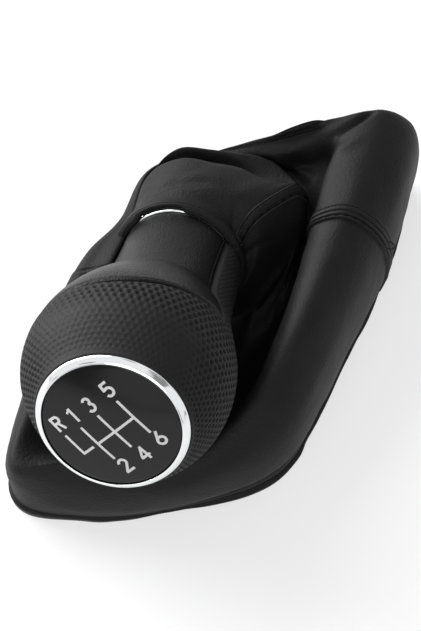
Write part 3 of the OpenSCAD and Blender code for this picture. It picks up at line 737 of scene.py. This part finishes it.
def closed_sheet(name, u, v, low, high, replaces=()):
    """Closed sheet of leather between two heights over the gaiter's face."""
    rows, cols = u.shape
    m = rows * cols
    top = grid_faces(rows, cols)
    rim = list(range(cols)) + [i * cols + cols - 1 for i in range(1, rows)]
    rim += [m - 1 - j for j in range(1, cols)] + [i * cols for i in range(rows - 2, 0, -1)]
    faces = top + [tuple(m + a for a in reversed(f)) for f in top]
    faces += [(a, m + a, m + b, b) for a, b in zip(rim, rim[1:] + rim[:1])]
    points = np.concatenate([skin_at(u, v, high).reshape(-1, 3), skin_at(u, v, low).reshape(-1, 3)])
    return add_piece(name, points, faces, "gaiter_black", replaces)


def gaiter():
    """Front and back half, each from seam to seam."""
    rows = np.linspace(0, LAST, 217)
    halves = (("gaiter_front", LEFT_SEAM, "gaiter_near"), ("gaiter_back", RIGHT_SEAM, "gaiter_far"))
    return [
        closed_sheet(name, *np.meshgrid(start + np.linspace(0, 8, 129), rows), -LEATHER, 0, [cad])
        for name, start, cad in halves]


# Place of the sewn groove, from -1 to 1 over the seam's width
STITCH_LINE = -0.52


def station_width(u, v, half_mm):
    """Stations that half_mm covers at u, for each row in v."""
    mm_per_station = np.linalg.norm(face_at(u + 0.05, v) - face_at(u - 0.05, v), axis=-1) / 0.1
    return half_mm / mm_per_station


def half_width(v):
    """Half the seam strip's width at row v: it is narrow on the tube and wider on the roll."""
    return 1.75 + 0.55 * smoothstep(v, 5, 8)


def ridge(x, middle, width):
    """Soft ridge of height 1."""
    return np.exp(-((x - middle) / width) ** 2)


def seam(name, u0, v0, replaces, proud=1.0):
    """Felled seam: a raised strip with a folded edge, a sewn groove beside it, a second groove
    where the seam crosses the roll, and a pressed line along its far side."""
    vs = np.linspace(v0, SEAM_END, int((SEAM_END - v0) * 18))
    x = np.linspace(-1, 1, 41)[None, :]
    u = u0 + station_width(u0, vs, half_width(vs))[:, None] * x
    v = np.repeat(vs[:, None], x.size, axis=1)
    on_roll = smoothstep(v, 6, 8)
    height = 0.62 * smoothstep(x, -1.0, -0.84) * (1 - smoothstep(x, 0.78, 0.98))
    height = height + (0.25 - 0.15 * on_roll) * ridge(x, -0.8, 0.13)
    height = height - 0.75 * ridge(x, STITCH_LINE, 0.12) - 0.5 * on_roll * ridge(x, 0.12, 0.09)
    height = proud * (height - 0.45 * ridge(x, 0.7, 0.08)) + 0.03
    closed_sheet(name, u, v, -0.5, height, replaces)


# Radius of the sewing thread
STRAND = 0.17


def capped_faces(rings, sides):
    """Faces of a tube of rings with both of its ends closed."""
    ends = [tuple(reversed(range(sides))), tuple((rings - 1) * sides + k for k in range(sides))]
    return grid_faces(rings, sides, True) + ends


def stitches(name, u0, v0, lift=0.12):
    """Row of lock stitches in a seam's groove, each a small bent capsule sunk at its ends."""
    stitch, gap, sides, rings = 1.9, 0.5, 8, 9
    vs = np.linspace(v0, SEAM_END, 600)
    u = u0 + station_width(u0, vs, half_width(vs)) * STITCH_LINE
    path = skin_at(u, vs, lift)
    out = out_at(u, vs)
    length = np.concatenate([[0], np.cumsum(np.linalg.norm(np.diff(path, axis=0), axis=1))])
    t = np.linspace(0, 1, rings)
    radius = STRAND * np.sqrt(np.clip(1 - (2 * t - 1) ** 6, 0.02, 1))
    points, faces = [], []
    start = 0.5
    while start + stitch < length[-1]:
        at = start + t * stitch
        centre = np.stack([np.interp(at, length, path[:, k]) for k in range(3)], 1)
        normal = np.stack([np.interp(at, length, out[:, k]) for k in range(3)], 1)
        centre = centre - normal * (0.3 * (2 * t - 1) ** 4)[:, None]
        along = np.gradient(centre, axis=0)
        along /= np.linalg.norm(along, axis=1)[:, None]
        side = np.cross(along, normal)
        side /= np.linalg.norm(side, axis=1)[:, None]
        up = np.cross(side, along)
        base = len(points)
        for c, across, above, r in zip(centre, side, up, radius):
            for a in np.linspace(0, 2 * math.pi, sides, endpoint=False):
                points.append(c + r * (math.cos(a) * across + math.sin(a) * above))
        faces += [tuple(base + x for x in f) for f in capped_faces(rings, sides)]
        start += stitch + gap
    add_piece(name, points, faces, "thread_black")


def strand(name, path, sides=10):
    """Round strand of thread along points."""
    along = np.gradient(path, axis=0)
    along /= np.linalg.norm(along, axis=1)[:, None]
    up = np.array([0.3, 0.2, 0.9])
    points = []
    for c, t in zip(path, along):
        a = np.cross(t, up)
        a /= np.linalg.norm(a)
        b = np.cross(t, a)
        points += [c + STRAND * (math.cos(k) * a + math.sin(k) * b)
                   for k in np.linspace(0, 2 * math.pi, sides, endpoint=False)]
    add_piece(name, points, capped_faces(len(path), sides), "thread_black")


def loose_loop():
    """Loop of thread that stands out of the roll, low on the right seam."""
    u, v = np.array([RIGHT_SEAM + 0.02]), np.array([10.35])
    base, out = skin_at(u, v)[0], out_at(u, v)[0]
    along = np.array([0.2, -0.9, -0.35])
    along /= np.linalg.norm(along)
    t = np.linspace(-0.25 * math.pi, 1.25 * math.pi, 40)
    path = base + out * (0.9 + 1.15 * np.sin(t))[:, None] + along * (0.9 * np.cos(t))[:, None]
    strand("loose_thread", path)


def hem():
    """Turned lower edge, a little uneven, in two lengths that meet at the seams."""
    pieces = []
    for name, start, replaces in (("hem_front", LEFT_SEAM, []), ("hem_back", RIGHT_SEAM, ["hem_edge"])):
        vs = np.linspace(*HEM_ROWS, 14)
        u, v = np.meshgrid(start + np.linspace(0.03, 7.97, 120), vs)
        x = (v - vs[0]) / (vs[-1] - vs[0])
        round_off = np.sqrt(np.clip(1 - (2 * x - 1) ** 8, 0, 1))
        # A flap on the near side has come loose
        near = u - STATIONS
        loose = smoothstep(near, 0.8, 1.6) * (1 - smoothstep(near, 2.35, 2.55))
        high = 0.1 + (0.65 + 0.12 * np.sin(u * 5.1) + 0.55 * loose) * round_off
        pieces.append(closed_sheet(name, u, v, -0.3, high, replaces))
    return pieces


def dress_cad_nodes():
    """The print, the bead and the inner pieces keep their CAD shape and get their finish."""
    slots = {
        "gate_print": "white_print", "cap_carrier": "black_plastic", "head_core": "black_plastic",
        "panel_bead": "bead_black", "gaiter_collar": "black_plastic", "gaiter_tie": "black_plastic",
        "lever_sleeve": "sleeve_grey", "sleeve_clamp": "clamp_steel"}
    for name, slot in slots.items():
        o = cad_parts[name]
        o.data.materials.clear()
        o.data.materials.append(FINISH[slot])


def seen_or_mirrored(tree):
    """1 for rays from the camera, or that metal, gloss or glass sends on."""
    path = node(tree, "ShaderNodeLightPath")
    seen = math_node(tree, "MAXIMUM", path.outputs["Is Camera Ray"], path.outputs["Is Glossy Ray"])
    return math_node(tree, "MAXIMUM", seen, path.outputs["Is Transmission Ray"])


def floor():
    """White floor that glows for the camera but keeps the object's shadow."""
    tree, bsdf = new_material("floor_white")
    bsdf.inputs["Base Color"].default_value = (FLOOR_GREY, FLOOR_GREY, FLOOR_GREY, 1)
    bsdf.inputs["Roughness"].default_value = 0.9
    bsdf.inputs["Specular IOR Level"].default_value = 0.1
    white = node(tree, "ShaderNodeEmission", Strength=1.0)
    both = node(tree, "ShaderNodeMixShader")
    tree.links.new(math_node(tree, "MULTIPLY", seen_or_mirrored(tree), FLOOR_GLOW), both.inputs[0])
    tree.links.new(bsdf.outputs[0], both.inputs[1])
    tree.links.new(white.outputs[0], both.inputs[2])
    tree.links.new(both.outputs[0], tree.nodes["Material Output"].inputs["Surface"])
    mesh = bpy.data.meshes.new("floor")
    h = FLOOR_HALF_M
    mesh.from_pydata([(-h, -h, 0), (h, -h, 0), (h, h, 0), (-h, h, 0)], [], [(0, 1, 2, 3)])
    mesh.materials.append(FINISH["floor_white"])
    o = bpy.data.objects.new("floor", mesh)
    o.location.z = -FLOOR_DROP_M
    bpy.context.collection.objects.link(o)


def sky():
    """Even light. The camera and gloss see it brighter, up to white, with soft dark patches."""
    world = bpy.data.worlds.new("sky")
    bpy.context.scene.world = world
    world.use_nodes = True
    tree = world.node_tree
    background = tree.nodes["Background"]
    background.inputs["Color"].default_value = (1, 1, 1, 1)
    place = node(tree, "ShaderNodeTexCoord").outputs["Generated"]
    patches = pattern(tree, "ShaderNodeTexNoise", place, Scale=1.9, Detail=1.0)
    spread = node(
        tree, "ShaderNodeMapRange", interpolation_type="SMOOTHSTEP",
        From_Min=0.36, From_Max=0.45, To_Min=-0.2, To_Max=0.5)
    tree.links.new(patches.outputs["Fac"], spread.inputs["Value"])
    strength = math_node(tree, "MULTIPLY_ADD", seen_or_mirrored(tree), spread.outputs[0], SKY_STRENGTH)
    tree.links.new(strength, background.inputs["Strength"])


camera()
sky()
floor()
for lamp_name, settings in LAMPS.items():
    lamp(lamp_name, *settings)
cap()
grip()
panel()
neck_ring()
collar_lip()
front, back = gaiter()
seam("seam_strip_right", RIGHT_SEAM, 0.1, ["seam_right"])
seam("seam_strip_left", LEFT_SEAM, 6.4, ["seam_left"], 0.3)
stitches("stitches_right", RIGHT_SEAM, 0.3)
stitches("stitches_left", LEFT_SEAM, 6.4, -0.08)
loose_loop()
hem_front, hem_back = hem()
dress_cad_nodes()

bpy.context.scene.view_settings.view_transform = "Standard"
